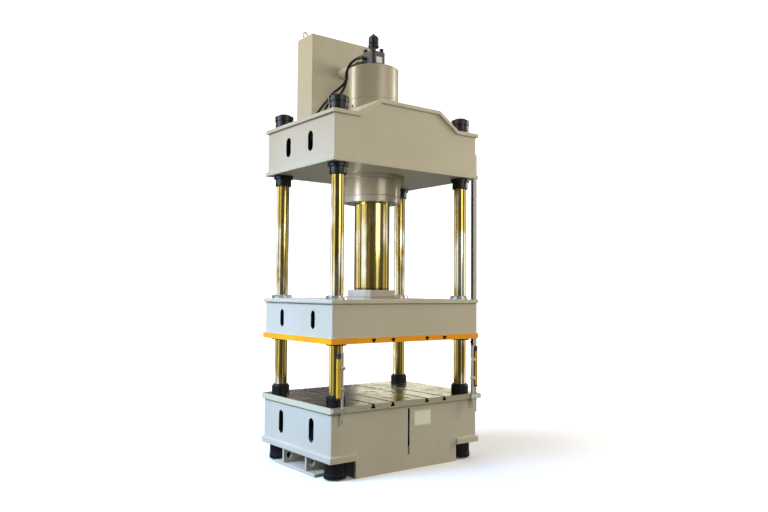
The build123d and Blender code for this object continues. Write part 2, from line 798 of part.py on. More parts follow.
def fitting(stub):
    """An upright stub with a ball round the point where the hose starts."""
    waist = stub - (ball ** 2 - (fitting_dia / 2) ** 2) ** 0.5
    foot = Polyline([(0, 0, stub + ball), (0, 0, 0), (fitting_dia / 2, 0, 0), (fitting_dia / 2, 0, waist)])
    cap = ThreePointArc((fitting_dia / 2, 0, waist), (ball, 0, stub), (0, 0, stub + ball))
    return revolve(make_face([foot, cap]), Axis.Z)


fittings = []
ends = []
for port, crown_spot in ((hose_a_port, hose_a_crown), (hose_b_port, hose_b_crown)):
    at_block = Vector(-half_block - block_stub, port[0], drum_top + port[1])
    out, rear = crown_spot
    at_crown = Vector(-hump_foot_x - out, rear, shoulder_top + crown_stub)
    fittings.append(Pos(-half_block, at_block.Y, at_block.Z) * Rot(0, -90, 0) * fitting(block_stub))
    fittings.append(Pos(at_crown.X, at_crown.Y, shoulder_top) * fitting(crown_stub))
    ends.append((at_block, at_crown))
save("hose_fittings", fittings)


def hose(name, start, via, finish):
    """A hose of straight runs and arcs from one fitting to the other."""
    via = [(drum_dia / 2 + out, radians(turn), drum_top + rise) for out, turn, rise in via]
    via = [Vector(-radius * cos(angle), radius * sin(angle), height) for radius, angle, height in via]
    lead = ball + hose_start_gap
    first = start + (via[0] - start).normalized() * lead
    last = finish + (via[-1] - finish).normalized() * lead
    points = [first] + via + [last]
    runs = [(b - a).length for a, b in zip(points, points[1:])]
    route = []
    here = points[0]
    length = 0
    for i in range(1, len(points) - 1):
        into = (points[i] - points[i - 1]).normalized()
        out = (points[i + 1] - points[i]).normalized()
        turn = acos(max(-1, min(1, into.dot(out))))
        reach = bend_share * min(runs[i - 1], runs[i])
        radius = reach / tan(turn / 2)
        begin = points[i] - into * reach
        end = points[i] + out * reach
        middle = points[i] + (out - into).normalized() * (radius / cos(turn / 2) - radius)
        route.append(Line(here, begin))
        route.append(ThreePointArc(begin, middle, end))
        length = length + (begin - here).length + radius * turn
        here = end
        print(name, "bend", i, "radius", round(radius), "turn", round(degrees(turn)))
    route.append(Line(here, points[-1]))
    length = length + (points[-1] - here).length
    wire = Wire(route)
    section = Plane(origin=points[0], z_dir=(points[1] - points[0])) * Circle(hose_dia / 2)
    tube = sweep(section, path=wire)
    plain = length * pi * hose_dia ** 2 / 4
    print(name, "length", round(length), "volume share", round(tube.volume / plain, 4))
    print(name, "route", [tuple(round(c, 1) for c in point) for point in points])
    save(name, tube)


hose("hose_rear", ends[0][0], hose_a_via, ends[0][1])
hose("hose_front", ends[1][0], hose_b_via, ends[1][1])

# Light curtains: a bar, a rod, its bracket on the table's edge and two clamps on each side
rod_y = -half_depth - guard_rod_out
rod_low = table_top - guard_rod_drop
rod_high = table_top + guard_rod_rise
bar_low = table_top + guard_bar_rise
bar_high = bar_low + guard_bar_length
bar_near = guard_rod_x + guard_rod_dia / 2 + guard_bar_gap
bar_y = (rod_y - guard_bar_depth / 2, rod_y + guard_bar_depth / 2)
lens_y = (rod_y - window_width / 2, rod_y + window_width / 2)
lug_y = (lens_y[0] + fit_gap, lens_y[1] - fit_gap)
clamp_y = (rod_y - clamp_depth / 2, rod_y + clamp_depth / 2)
bracket_high = table_top - bracket_drop
clamps = []
for name, side in (("left", -1), ("right", 1)):
    rod_spot = (side * guard_rod_x, rod_y)
    rod_hole = hole(guard_rod_dia + 2 * fit_gap, rod_low, rod_high, rod_spot)
    save("guard_rod_" + name, disc(guard_rod_dia, rod_low, rod_high, rod_spot))
    bracket_x = sorted((side * (guard_rod_x - bracket_reach), side * half_width))
    bracket = slab(bracket_x, (-half_depth - bracket_depth, -half_depth),
                   (bracket_high - bracket_height, bracket_high))
    save("guard_bracket_" + name, bracket - rod_hole)
    inner = side * bar_near
    bar_x = sorted((inner, side * (bar_near + guard_bar_width)))
    bar = slab(bar_x, bar_y, (bar_low, bar_high))
    bar = fillet(bar.edges().filter_by(Axis.Z), guard_bar_round)
    lens_x = sorted((inner - side * overrun, inner + side * window_depth))
    bar = bar - slab(lens_x, lens_y, (bar_low + window_margin, bar_high - window_margin))
    save("guard_bar_" + name, bar)
    for share in clamp_shares:
        z = bar_low + guard_bar_length * share
        clamp_z = (z - clamp_height / 2, z + clamp_height / 2)
        clamp = slab(sorted((inner - side * clamp_width, inner)), clamp_y, clamp_z)
        clamp = clamp + slab(sorted((inner, inner + side * window_depth)), lug_y, clamp_z)
        knob_at = Pos(rod_spot[0], clamp_y[0] - clamp_knob_length / 2, z)
        clamp = clamp + knob_at * Rot(90, 0, 0) * Cylinder(clamp_knob_dia / 2, clamp_knob_length)
        clamps.append(clamp - rod_hole)
save("guard_clamps", clamps)

# Switch post beside the slide: a channel that opens towards it, two brackets and a proximity switch
post_x = half_width + post_clear
post_back_x = post_x + post_width - post_wall
post_front_y = post_setback - half_depth
post_rear_y = post_front_y + post_depth
post_low = table_low - post_drop
post_high = crown_low + post_rise
post = slab((post_x, post_x + post_width), (post_front_y, post_rear_y), (post_low, post_high))
post = post - slab((post_x - overrun, post_back_x), (post_front_y + post_wall, post_rear_y - post_wall),
                   (post_low - overrun, post_high + overrun))
save("switch_post", post)
arm_y = (post_rear_y, post_rear_y + post_wall)
arms = []
for low in (post_low + post_bracket_inset, post_high - post_bracket_inset - post_bracket_height):
    arm_z = (low, low + post_bracket_height)
    pad = slab((wall_x, wall_x + post_wall), (post_rear_y, post_rear_y + post_bracket_depth), arm_z)
    arms.append(pad + slab((wall_x, post_x + post_width), arm_y, arm_z))
save("post_brackets", arms)
switch_face = half_width + switch_clear
switch_front = post_back_x - switch_length
switch_low = platen_low - switch_drop
switch_y = (post_front_y + post_wall + fit_gap, post_rear_y - post_wall - fit_gap)
switch = slab((switch_front, post_back_x), switch_y, (switch_low, switch_low + switch_height))
switch_mid = (switch_y[0] + switch_y[1]) / 2
nose_at = Pos((switch_face + switch_front) / 2, switch_mid, switch_low + switch_height / 2)
switch = switch + nose_at * Rot(0, 90, 0) * Cylinder(switch_cap, switch_front - switch_face)
save("proximity_switch", switch)
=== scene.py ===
import math
import random

import bpy
from mathutils import Matrix, Vector


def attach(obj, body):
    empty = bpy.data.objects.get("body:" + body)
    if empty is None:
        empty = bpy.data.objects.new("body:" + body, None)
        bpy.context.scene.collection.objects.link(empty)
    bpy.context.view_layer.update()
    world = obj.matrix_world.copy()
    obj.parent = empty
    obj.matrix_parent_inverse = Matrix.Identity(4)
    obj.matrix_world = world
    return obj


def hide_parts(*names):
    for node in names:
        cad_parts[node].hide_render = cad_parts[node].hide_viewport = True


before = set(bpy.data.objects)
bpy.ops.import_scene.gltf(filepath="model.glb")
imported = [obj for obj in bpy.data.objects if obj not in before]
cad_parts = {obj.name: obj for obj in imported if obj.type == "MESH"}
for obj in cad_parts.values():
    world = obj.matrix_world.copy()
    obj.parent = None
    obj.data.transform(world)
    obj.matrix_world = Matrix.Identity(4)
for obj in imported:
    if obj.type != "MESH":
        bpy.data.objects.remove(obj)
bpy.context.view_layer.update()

# Bed frame: thick mild steel plate, flame cut and fillet welded into a box on a flange, a pit and two soles.
# It is sprayed with a glossy stone-grey enamel that has a light orange peel, chips along the plate edges and
# takes faint brown runs of oil; a painted highlight lightens the plate edges. Inside the boxes the plates are
# primed dark and painted shade darkens them nearly to black, as it darkens the pit's back wall under the
# flange.
ENAMEL = (0.60, 0.537, 0.38)
ENAMEL_COOL = (0.63, 0.57, 0.425)
ENAMEL_EDGE_HIGHLIGHT = (0.95, 0.93, 0.85)
OIL_STAIN = (0.34, 0.24, 0.11)
PRIMER = (0.20, 0.19, 0.17)
PRIMER_AND_SHADE = (0.022, 0.021, 0.019)
WALL_X, WALL_Y = 0.928, 0.650
PIT_X = 0.645
BED_FLANGE_TOP, BED_WALL_TOP = 0.231, 0.632
BOX_INSIDES = ((0.233, 0.630), (1.335, 1.659), (3.059, 3.478))
RECESS_TOP, RECESS_FRONT = 0.21, 0.63
PAINT_LINE = 0.001
RECESS_FADE = 0.01
BEAD_LEG = 0.010
BEAD_STEP = 0.005
BEAD_PITCH = 0.016
BEAD_ROOT, BEAD_CROWN = 0.1, 0.6
BEAD_LOW, BEAD_UNEVEN = 0.84, 0.05


class Value:
    """A shader socket that takes part in sums: each operator adds one Math node."""

    def __init__(self, look, socket):
        self.look = look
        self.socket = socket

    def maths(self, operation, *terms):
        return self.look.node("ShaderNodeMath", {"operation": operation}, dict(enumerate(terms)))

    def __add__(self, other):
        return self.maths("ADD", self, other)

    def __sub__(self, other):
        return self.maths("SUBTRACT", self, other)

    def __rsub__(self, other):
        return self.maths("SUBTRACT", other, self)

    def __mul__(self, other):
        return self.maths("MULTIPLY", self, other)

    def __abs__(self):
        return self.maths("ABSOLUTE", self)

    def most(self, other):
        return self.maths("MAXIMUM", self, other)

    def least(self, other):
        return self.maths("MINIMUM", self, other)

    def band(self, low, high):
        """A smooth step from 0 at one value to 1 at the other."""
        return self.look.node("ShaderNodeMapRange", {"interpolation_type": "SMOOTHSTEP"},
                              {"Value": self, "From Min": low, "From Max": high})

    def within(self, low, high, soft):
        """1 between two values, 0 outside them."""
        return self.band(low, low + soft) * self.band(high, high - soft)

    __radd__ = __add__
    __rmul__ = __mul__


class Look:
    """A material of one Principled shader, whose nodes all come from the node method."""

    def __init__(self, name, **constants):
        self.material = bpy.data.materials.new(name)
        self.material.use_nodes = True
        self.tree = self.material.node_tree
        self.shader = self.tree.nodes["Principled BSDF"]
        self.place = self.node("ShaderNodeTexCoord", {}, {}, "Object")
        self.facing = self.node("ShaderNodeNewGeometry", {}, {}, "Normal")
        self.set(**constants)

    def feed(self, socket, value):
        if isinstance(value, Value):
            self.tree.links.new(value.socket, socket)
        elif socket.type == "RGBA":
            socket.default_value = (*value, 1.0)
        else:
            socket.default_value = value

    def node(self, kind, settings, sockets, output=0):
        """Any node, from its type, its settings and the values or links of its sockets."""
        made = self.tree.nodes.new(kind)
        for name, value in settings.items():
            setattr(made, name, value)
        for name, value in sockets.items():
            self.feed(made.inputs[name], value)
        return Value(self, made.outputs[output])

    def set(self, **sockets):
        for name, value in sockets.items():
            self.feed(self.shader.inputs[name.replace("_", " ")], value)

    def axis(self, name, vector):
        return self.node("ShaderNodeSeparateXYZ", {}, {0: vector}, name)

    def noise(self, scale, detail=3.0, stretch=(1.0, 1.0, 1.0)):
        drawn = self.node("ShaderNodeVectorMath", {"operation": "MULTIPLY"}, {0: self.place, 1: stretch})
        return self.node("ShaderNodeTexNoise", {}, {"Vector": drawn, "Scale": scale, "Detail": detail}, "Fac")

    def mix(self, share, a, b):
        return self.node("ShaderNodeMix", {"data_type": "RGBA"}, {0: share, 6: a, 7: b}, 2)

    def rounded(self, radius):
        """Normals that turn smoothly over the edges."""
        return self.node("ShaderNodeBevel", {"samples": 6}, {"Radius": radius})

    def edge(self, rounded):
        """How near an edge is: 1 where the rounded normal leans well away from the face's own."""
        facing_both = {0: rounded, 1: self.facing}
        along = self.node("ShaderNodeVectorMath", {"operation": "DOT_PRODUCT"}, facing_both, "Value")
        return (1.0 - along).band(0.02, 0.22)

    def bump(self, height, distance, **normal):
        self.set(Normal=self.node("ShaderNodeBump", {}, {"Height": height, "Distance": distance, **normal}))


def dress(look, *names):
    """Give CAD nodes their finish."""
    for name in names:
        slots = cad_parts[name].data.materials
        slots.clear()
        slots.append(look.material)


def piece(name, body, look, slot, verts, faces, smooth=True):
    """A mesh of the scene's own, on a body of the press."""
    mesh = bpy.data.meshes.new(name)
    mesh.from_pydata([tuple(vert) for vert in verts], [], faces)
    mesh.polygons.foreach_set("use_smooth", [smooth] * len(faces))
    mesh.materials.append(look.material)
    made = bpy.data.objects.new(name, mesh)
    bpy.context.scene.collection.objects.link(made)
    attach(made, body)
    return made


def band_of_four(near, far):
    """The four faces between two rings of four points."""
    return [(near + i, near + (i + 1) % 4, far + (i + 1) % 4, far + i) for i in range(4)]


def weld(name, body, runs):
    """Rippled fillet beads along runs of stations, each a corner point and its two leg directions."""
    verts, faces = [], []
    chance = random.Random(name)
    travelled = 0.0
    for run in runs:
        first = len(verts)
        for (here, out, up), (there, out_end, up_end) in zip(run, run[1:]):
            length = (there - here).length
            steps = max(1, round(length / BEAD_STEP))
            start = 1 if len(verts) > first else 0
            for i in range(start, steps + 1):
                share = i / steps
                at = here.lerp(there, share)
                leg_out = out.lerp(out_end, share) * BEAD_LEG
                leg_up = up.lerp(up_end, share) * BEAD_LEG
                ripple = abs(math.sin(math.pi * (travelled + length * share) / BEAD_PITCH))
                swell = BEAD_LOW + (1 - BEAD_LOW) * ripple
                swell *= chance.uniform(1 - BEAD_UNEVEN, 1 + BEAD_UNEVEN)
                verts += [at - (leg_out + leg_up) * BEAD_ROOT, at + leg_out * swell,
                          at + (leg_out + leg_up) * BEAD_CROWN * swell, at + leg_up * swell]
            travelled += length
        rings = list(range(first, len(verts), 4))
        skin = [tuple(range(first + 3, first - 1, -1)), tuple(range(rings[-1], rings[-1] + 4))]
        if run[0][0] == run[-1][0]:
            del verts[-4:]
            rings[-1] = first
            skin = []
        for near, far in zip(rings, rings[1:]):
            skin += band_of_four(near, far)
        ahead = (run[1][0] - run[0][0]).dot(run[0][1].cross(run[0][2])) > 0
        faces += skin if ahead else [face[::-1] for face in skin]
    piece(name, body, enamel, "paint", verts, faces)


def round_walls(z, up):
    """Stations right round the four walls at one height."""
    corners = [(-1, -1), (1, -1), (1, 1), (-1, 1), (-1, -1)]
    return [(Vector((side * WALL_X, end * WALL_Y, z)), Vector((side, end, 0)), Vector((0, 0, up)))
            for side, end in corners]


enamel = Look("stone_enamel", Coat_Weight=0.2, Coat_Roughness=0.08)
enamel_round = enamel.rounded(0.008)
enamel_edge = enamel.edge(enamel_round)
enamel_x = abs(enamel.axis("X", enamel.place))
enamel_y = abs(enamel.axis("Y", enamel.place))
enamel_height = enamel.axis("Z", enamel.place)
enamel_boxes = sum(enamel_height.within(low, high, PAINT_LINE) for low, high in BOX_INSIDES)
enamel_in_x = enamel_x.band(WALL_X - PAINT_LINE, WALL_X - 2 * PAINT_LINE)
enamel_in_y = enamel_y.band(WALL_Y - PAINT_LINE, WALL_Y - 2 * PAINT_LINE)
enamel_recess_x = enamel_x.band(PIT_X + 4 * PAINT_LINE, PIT_X + 2 * PAINT_LINE)
enamel_recess_y = enamel_y.band(RECESS_FRONT, RECESS_FRONT - RECESS_FADE)
# Painted shade: the pit's back wall under the flange is darkened as if in the flange's shadow.
enamel_recess_shade = enamel_recess_x * enamel_recess_y * enamel_height.band(RECESS_TOP, RECESS_TOP - RECESS_FADE)
# Painted shade: the boxes' primed insides and the pit's back wall are mixed towards near black.
enamel_primer_and_shade = (enamel_boxes * enamel_in_x * enamel_in_y).most(0.85 * enamel_recess_shade)
enamel_cloud = enamel.noise(1.3, 4.0)
enamel_runs = enamel.noise(1.0, 5.0, (9.0, 9.0, 0.9))
enamel_grit = enamel.noise(38.0, 5.0)
enamel_stain = enamel_runs.band(0.50, 0.80) * (0.05 + 0.08 * enamel_height.band(1.4, 0.3))
enamel_chip = enamel_edge * enamel_grit.band(0.56, 0.64)
enamel_colour = enamel.mix(enamel_cloud.band(0.35, 0.65), ENAMEL, ENAMEL_COOL)
enamel_colour = enamel.mix(enamel_stain, enamel_colour, OIL_STAIN)
# Painted highlight: the plate edges are lightened towards a pale cream.
enamel_colour = enamel.mix(enamel_edge * 0.9, enamel_colour, ENAMEL_EDGE_HIGHLIGHT)
enamel_colour = enamel.mix(enamel_chip * 0.5, enamel_colour, PRIMER)
enamel_wear = 0.16 * enamel_cloud + 0.10 * enamel_grit + 0.25 * enamel_chip
enamel.set(Base_Color=enamel.mix(enamel_primer_and_shade, enamel_colour, PRIMER_AND_SHADE),
           Roughness=0.20 + enamel_wear + 0.4 * enamel_primer_and_shade)
enamel.bump(enamel.noise(7.0, 2.0) + 0.05 * enamel.noise(170.0, 2.0), 0.0009, Normal=enamel_round)
dress(enamel, "base_frame")
bed_runs = [round_walls(BED_WALL_TOP, -1)]
for side in (-1, 1):
    stops = [(PIT_X, -1, 0), (WALL_X, -1, 1), (WALL_X, 1, 1), (PIT_X, 1, 0)]
    bed_runs.append([(Vector((side * x, end * WALL_Y, BED_FLANGE_TOP)), Vector((side * corner, end, 0)),
                      Vector((0, 0, 1))) for x, end, corner in stops])
weld("bed_welds", "frame", bed_runs)

# Table: one plate of steel, its top milled and scraped flat, its T-slots milled from front to rear.
# The top is bare, rubbed bright along its edges, where a painted highlight lightens it further, and wiped
# with brown oil that has dried in patches. The outer sides are enamelled.
TABLE_STEEL = (0.46, 0.43, 0.34)
TABLE_WORN = (0.62, 0.60, 0.50)
TABLE_OIL = (0.15, 0.088, 0.034)
TABLE_RUBBED_AND_HIGHLIGHT = (0.86, 0.84, 0.76)
EDGE_X, EDGE_Y = 0.9495, 0.6715
EDGE_SOFT = 0.0004
MILLED = (3.0, 700.0, 3.0)


def outer_sides(look):
    """1 on the outer sides of the table or the platen, 0 on their faces and in their slots."""
    side_x = abs(look.axis("X", look.place)).band(EDGE_X - EDGE_SOFT, EDGE_X)
    side_y = abs(look.axis("Y", look.place)).band(EDGE_Y - EDGE_SOFT, EDGE_Y)
    return side_x.most(side_y)


table = Look("milled_steel")
table_round = table.rounded(0.007)
table_edge = table.edge(table_round)
table_upright = abs(table.axis("Z", table.facing)).band(0.7, 0.5)
table_paint = outer_sides(table) * table_upright
table_left = table.axis("X", table.place).band(0.3, -0.7)
table_oil = (table.noise(2.6, 5.0) + 0.22 * table_left).band(0.44, 0.64)
table_lines = table.noise(1.0, 2.0, MILLED)
table_wear = table.noise(9.0, 5.0).band(0.5, 0.7)
table_colour = table.mix(table_wear * 0.5, TABLE_STEEL, TABLE_WORN)
table_colour = table.mix(table_oil * 0.85, table_colour, TABLE_OIL)
# Painted highlight over rubbed wear: the table's edges are lightened towards pale steel.
table_colour = table.mix(table_edge * 0.8, table_colour, TABLE_RUBBED_AND_HIGHLIGHT)
table.set(Base_Color=table.mix(table_paint, table_colour, ENAMEL), Metallic=0.95 - 0.95 * table_paint,
          Roughness=0.16 + 0.16 * table_lines + 0.12 * table_wear + 0.05 * table_paint)
table.bump(table_lines, 0.00008, Normal=table_round)
dress(table, "bed_table")

# Rating plate: a thin aluminium plate, anodised pale cream and left blank, with a printed line round its
# edge. Four dome rivets of bright steel hold it on the front wall.
PLATE_CREAM = (0.98, 0.94, 0.74)
PLATE_SHADE = (0.93, 0.89, 0.68)
PLATE_LINE = (0.30, 0.28, 0.24)
PLATE_MIDDLE = (0.180, 0.498)
PLATE_HALF = (0.110, 0.075)
PLATE_THICK = 0.002
LINE_OUTER, LINE_INNER, LINE_SOFT = 0.0050, 0.0078, 0.0006
STEEL_BRIGHT = (0.72, 0.70, 0.65)
STEEL_DULL = (0.50, 0.46, 0.38)
RIVET = 0.0045
RIVET_INSET = 0.010
RIVET_DOME = [(1.0, 0.0), (0.92, 0.25), (0.7, 0.5), (0.35, 0.64), (0.06, 0.68)]
RIVET_SEGMENTS = 20


def lathe(profile, segments):
    """Points and faces of a body turned about Z from radius and height pairs, closed at both ends."""
    verts, faces = [], []
    for radius, height in profile:
        for i in range(segments):
            angle = 2 * math.pi * i / segments
            verts.append(Vector((radius * math.cos(angle), radius * math.sin(angle), height)))
    for ring in range(len(profile) - 1):
        low, high = ring * segments, (ring + 1) * segments
        for i in range(segments):
            j = (i + 1) % segments
            faces.append((low + i, low + j, high + j, high + i))
    faces.append(tuple(reversed(range(segments))))
    faces.append(tuple(range((len(profile) - 1) * segments, len(profile) * segments)))
    return verts, faces


def copies(shape, places):
    """One mesh of a shape at each of several places."""
    verts, faces = [], []
    for place in places:
        start = len(verts)
        verts += [place @ vert for vert in shape[0]]
        faces += [tuple(start + index for index in face) for face in shape[1]]
    return verts, faces


plate = Look("cream_plate", Metallic=0.0)
plate_in_x = PLATE_HALF[0] - abs(plate.axis("X", plate.place) - PLATE_MIDDLE[0])
plate_in_z = PLATE_HALF[1] - abs(plate.axis("Z", plate.place) - PLATE_MIDDLE[1])
plate_line = plate_in_x.least(plate_in_z).within(LINE_OUTER, LINE_INNER, LINE_SOFT)
plate_grain = plate.noise(1.0, 3.0, (30.0, 30.0, 900.0))
plate_colour = plate.mix(plate_grain, PLATE_CREAM, PLATE_SHADE)
plate.set(Base_Color=plate.mix(plate_line * 0.8, plate_colour, PLATE_LINE),
          Roughness=0.28 + 0.2 * plate_grain)
plate.bump(plate_grain, 0.00005)
dress(plate, "rating_plate")

steel = Look("bright_steel", Metallic=1.0)
steel_lines = steel.noise(1.0, 3.0, (12.0, 12.0, 420.0))
steel_tarnish = steel.noise(11.0, 4.0).band(0.45, 0.7)
steel.set(Base_Color=steel.mix(steel_tarnish * 0.5, STEEL_BRIGHT, STEEL_DULL),
          Roughness=0.22 + 0.14 * steel_lines + 0.12 * steel_tarnish)
steel.bump(steel_lines, 0.00006, Normal=steel.rounded(0.002))
rivet = lathe([(RIVET * radius, RIVET * height) for radius, height in RIVET_DOME], RIVET_SEGMENTS)
rivet_places = []
for side in (-1, 1):
    for end in (-1, 1):
        spot = (PLATE_MIDDLE[0] + side * (PLATE_HALF[0] - RIVET_INSET), -WALL_Y - PLATE_THICK,
                PLATE_MIDDLE[1] + end * (PLATE_HALF[1] - RIVET_INSET))
        rivet_places.append(Matrix.Translation(spot) @ Matrix.Rotation(math.pi / 2, 4, "X"))
piece("plate_rivets", "frame", steel, "bright_steel", *copies(rivet, rivet_places))

# Columns: ground and hard-chromed steel bars, clamped by nuts through the bed and the crown.
# A film of amber preserving oil lies on them in upright streaks; their threaded tops are blackened.
CHROME = (0.82, 0.79, 0.66)
OIL_GOLD = (0.58, 0.465, 0.14)
OIL_BROWN = (0.30, 0.215, 0.05)
END_BLACK = (0.03, 0.028, 0.026)
COLUMN_END = 3.664
WIPED_LOW, WIPED_HIGH = 1.3, 3.1
chrome = Look("oiled_chrome", Metallic=1.0)
chrome_streak = chrome.noise(1.0, 4.0, (48.0, 48.0, 0.7))
chrome_patch = chrome.noise(1.0, 4.0, (9.0, 9.0, 2.6))
chrome_oil = chrome.mix(chrome_streak.band(0.30, 0.58), OIL_GOLD, OIL_BROWN)
chrome_height = chrome.axis("Z", chrome.place)
chrome_end = chrome_height.band(COLUMN_END - 0.002, COLUMN_END)
chrome_wiped = chrome_height.within(WIPED_LOW, WIPED_HIGH, 0.6) * chrome_height.band(3.0, 1.9) * 0.16
chrome_colour = chrome.mix((chrome_patch + chrome_wiped).band(0.50, 0.70) * 0.8, chrome_oil, CHROME)
chrome.set(Base_Color=chrome.mix(chrome_end, chrome_colour, END_BLACK),
           Roughness=0.06 + 0.10 * chrome_streak + 0.03 * chrome.noise(90.0, 3.0) + 0.3 * chrome_end)
chrome.bump(chrome_streak, 0.00022)
dress(chrome, "column_front_left", "column_front_right", "column_rear_left", "column_rear_right")

# Column nuts: turned steel rings, blackened in hot oxide and left oily, threaded on to the columns.
# The turning leaves fine rings, and the rims are rubbed bright where the hook spanner goes.
NUT_BLACK = (0.010, 0.0095, 0.009)
NUT_DUST = (0.035, 0.032, 0.028)
NUT_WORN = (0.14, 0.135, 0.13)
black = Look("black_oxide", Metallic=0.3)
black_round = black.rounded(0.003)
black_rings = black.noise(1.0, 2.0, (2.0, 2.0, 520.0))
black_rub = black.edge(black_round) * black.noise(60.0, 4.0).band(0.42, 0.62)
black_dust = black.noise(5.0, 4.0).band(0.5, 0.75)
black_colour = black.mix(black_dust * 0.3, NUT_BLACK, NUT_DUST)
black.set(Base_Color=black.mix(black_rub * 0.7, black_colour, NUT_WORN),
          Roughness=0.30 + 0.16 * black_rings + 0.15 * black_dust)
black.bump(black_rings, 0.00008, Normal=black_round)
dress(black, "bed_foot_nuts", "bed_top_nuts", "crown_under_nuts", "crown_top_nuts", "crown_lock_rings")

# Crown: a welded box like the bed, its roof plate folded into a hump that carries the cylinder.
# The same enamel is sprayed over the plates and their fillet welds.
CROWN_FLOOR_TOP, CROWN_ROOF_LOW, HUMP_LOW = 3.057, 3.480, 3.652
HUMP_FOOT_X, HUMP_EDGE_X = 0.637, 0.379
dress(enamel, "crown_beam")
fold = math.atan2(HUMP_LOW - CROWN_ROOF_LOW, HUMP_FOOT_X - HUMP_EDGE_X)
roof_stops = [(-WALL_X, CROWN_ROOF_LOW, 0.0), (-HUMP_FOOT_X, CROWN_ROOF_LOW, fold / 2),
              (-HUMP_EDGE_X, HUMP_LOW, fold / 2), (HUMP_EDGE_X, HUMP_LOW, -fold / 2),
              (HUMP_FOOT_X, CROWN_ROOF_LOW, -fold / 2), (WALL_X, CROWN_ROOF_LOW, 0.0)]
crown_runs = [round_walls(CROWN_FLOOR_TOP, 1)]
for side in (-1, 1):
    crown_runs.append([(Vector((x, side * WALL_Y, z)), Vector((0, side, 0)),
                        Vector((math.sin(lean), 0, -math.cos(lean)))) for x, z, lean in roof_stops])
    crown_runs.append([(Vector((side * WALL_X, end * WALL_Y, CROWN_ROOF_LOW)), Vector((side, 0, 0)),
                        Vector((0, 0, -1))) for end in (-1, 1)])
weld("crown_welds", "frame", crown_runs)

# Main cylinder: a forged barrel with a collar under the crown, a lock nut and an oil drum above it.
# The gland under it is bolted on and holds the rod's packing. All of it is turned and sprayed thinly, so it
# mirrors in bands, more sharply below the crown than above. Its colour is the frame's enamel darkened as
# painted shade.
TAUPE_SHADED = (0.43, 0.375, 0.275)
TAUPE_SHADED_DARK = (0.37, 0.32, 0.225)
PACKING_COLOURS = (0.018, 0.018, 0.018), (0.05, 0.045, 0.04)


def grained(name, colours, roughness, relief, grain, edge=None, **constants):
    """A plain finish, whose colour, roughness and relief follow one grain."""
    look = Look(name, **constants)
    height = look.noise(*grain)
    look.set(Base_Color=look.mix(height, *colours), Roughness=roughness + 0.2 * height)
    normal = {"Normal": look.rounded(edge)} if edge else {}
    look.bump(height, relief, **normal)
    return look


taupe = Look("turned_enamel_shaded", Metallic=0.1, Coat_Weight=0.12, Coat_Roughness=0.12)
taupe_matt = taupe.axis("Z", taupe.place).band(CROWN_FLOOR_TOP, HUMP_LOW)
taupe_cloud = taupe.noise(1.0, 4.0, (7.0, 7.0, 0.6))
taupe_rings = taupe.noise(1.0, 2.0, (3.0, 3.0, 160.0))
# Painted shade: the cylinder's colour is the frame's enamel darkened.
taupe.set(Base_Color=taupe.mix(taupe_cloud.band(0.35, 0.65), TAUPE_SHADED, TAUPE_SHADED_DARK),
          Roughness=0.19 + 0.16 * taupe_matt + 0.12 * taupe_cloud)
taupe.bump(taupe_rings + 2.0 * taupe_cloud, 0.0002, Normal=taupe.rounded(0.005))
dress(taupe, "main_cylinder", "cylinder_lock_nut", "cylinder_head_drum", "cylinder_gland")
packing = grained("packing_rubber", PACKING_COLOURS, 0.55, 0.0001, (140.0, 3.0), Metallic=0.0)
dress(packing, "rod_packing", "piston_rings")
dress(black, "gland_bolts")

# Slide: a welded box on the columns with a thick platen under it, T-slotted from below.
# The box is enamelled; the platen's edge is painted safety orange and its face is milled bare.
DECK_LOW, PLATEN_TOP = 1.661, 1.333
ORANGE = (1.0, 0.36, 0.008)
ORANGE_PALE = (1.0, 0.43, 0.015)
dress(enamel, "slide_box")
weld("slide_welds", "slide", [round_walls(DECK_LOW, -1), round_walls(PLATEN_TOP, 1)])
platen = Look("orange_platen", Specular_IOR_Level=0.25)
platen_round = platen.rounded(0.003)
platen_face = platen.axis("Z", platen.facing).band(-0.6, -0.8)
platen_chip = platen.edge(platen_round) * platen.noise(42.0, 5.0).band(0.58, 0.66)
platen_bare = (platen_face + (1.0 - outer_sides(platen))).least(1.0).most(platen_chip)
platen_lines = platen.noise(1.0, 2.0, MILLED)
platen_cloud = platen.noise(3.0, 4.0)
platen_orange = platen.mix(platen_cloud.band(0.35, 0.65), ORANGE, ORANGE_PALE)
platen.set(Base_Color=platen.mix(platen_bare, platen_orange, TABLE_STEEL), Metallic=0.95 * platen_bare,
           Roughness=0.25 + 0.14 * platen_lines + 0.06 * platen_cloud)
platen.bump(platen_lines * platen_bare + 0.3 * platen.noise(9.0, 2.0), 0.0002, Normal=platen_round)
dress(platen, "slide_platen")

# Guides: bronze bushes in the slide's corners, held by bolted steel covers with wiper lips.
# The upper covers are turned bright, the lower covers and the bolts are black.
BRONZE_COLOURS = (0.56, 0.36, 0.15), (0.40, 0.25, 0.10)
bronze = grained("bush_bronze", BRONZE_COLOURS, 0.3, 0.00008, (1.0, 3.0, (4.0, 4.0, 300.0)), Metallic=1.0)
dress(bronze, "guide_bushes")
dress(steel, "guide_covers_upper")
dress(black, "cover_bolts_upper", "guide_covers_lower")

